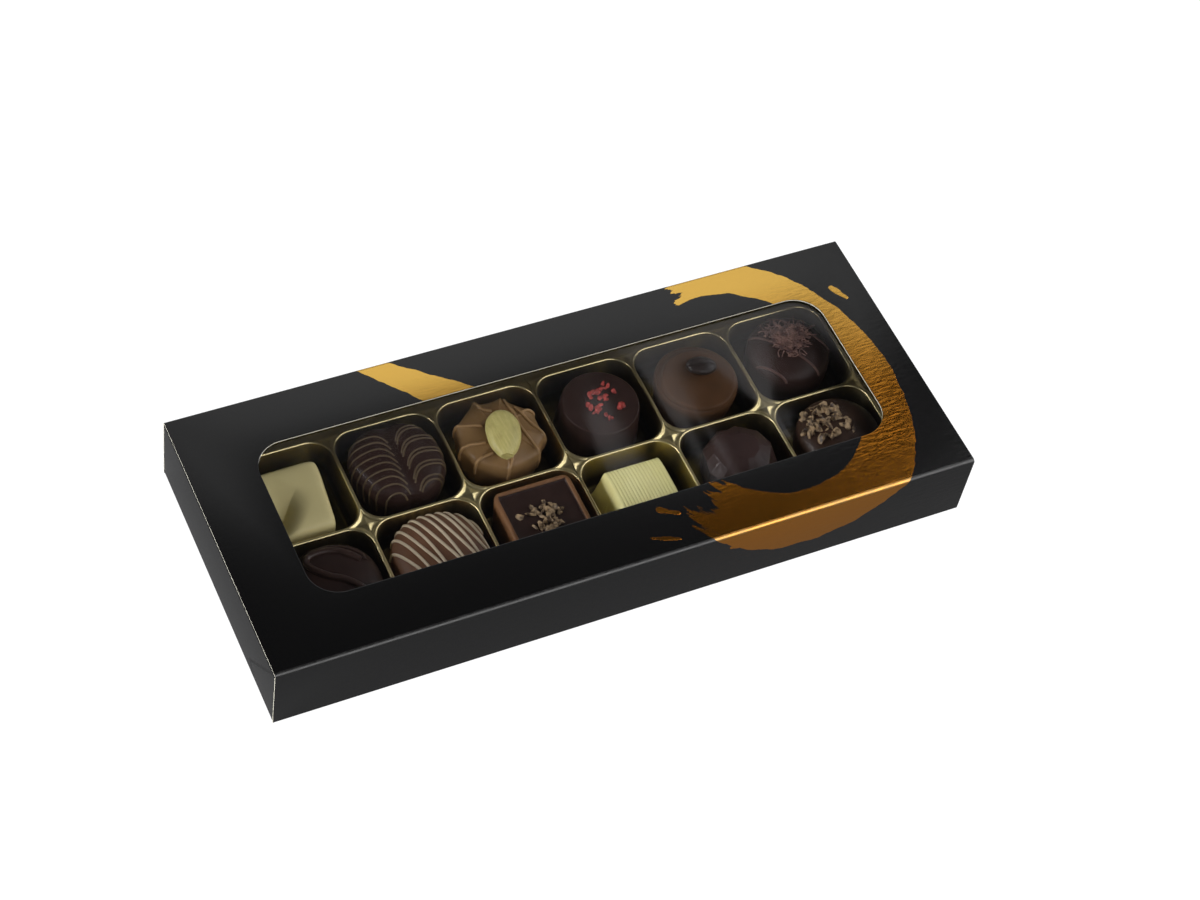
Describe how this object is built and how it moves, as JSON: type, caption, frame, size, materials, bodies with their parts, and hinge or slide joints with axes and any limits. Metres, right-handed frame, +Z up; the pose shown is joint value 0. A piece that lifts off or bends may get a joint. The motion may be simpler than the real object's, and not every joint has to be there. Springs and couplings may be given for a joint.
{
  "type": "box of chocolate pralines",
  "caption": "Flat black carton with a clear window, a tuck flap at each end, and moulded gold trays inside that hold assorted filled chocolates.",
  "frame": {"origin": "middle of the carton's flat underside", "axes": "+X along the long side to the right, +Y to the back, +Z up out of the window"},
  "size_m": [0.236, 0.098, 0.0264],
  "materials": {
    "board": "satin black coated board with gold foil strokes",
    "film": "clear thin film",
    "tray": "gold metallised, glossy",
    "white_chocolate": "glossy white chocolate",
    "cream_chocolate": "satin pale cream chocolate",
    "milk_chocolate": "satin milk chocolate",
    "red_brown_chocolate": "satin dark milk chocolate",
    "dark_chocolate": "satin dark chocolate",
    "almond": "peeled almond, finely streaked",
    "coffee_bean": "dark roasted bean, lightly oiled"
  },
  "bodies": {
    "root": {"carton": "board", "window_film": "film", "tray_left": "tray", "tray_right": "tray", "praline_white_fold": "white_chocolate", "praline_feather": "dark_chocolate", "praline_pleated": "milk_chocolate", "almond": "almond", "praline_red_crumb": "dark_chocolate", "praline_cup": "milk_chocolate", "coffee_bean": "coffee_bean", "praline_petal": "dark_chocolate", "praline_swirl": "dark_chocolate", "praline_striped": "milk_chocolate", "praline_square": "red_brown_chocolate", "praline_ribbed": "cream_chocolate", "praline_gem": "dark_chocolate", "praline_nib": "red_brown_chocolate"}
  },
  "joints": []
}
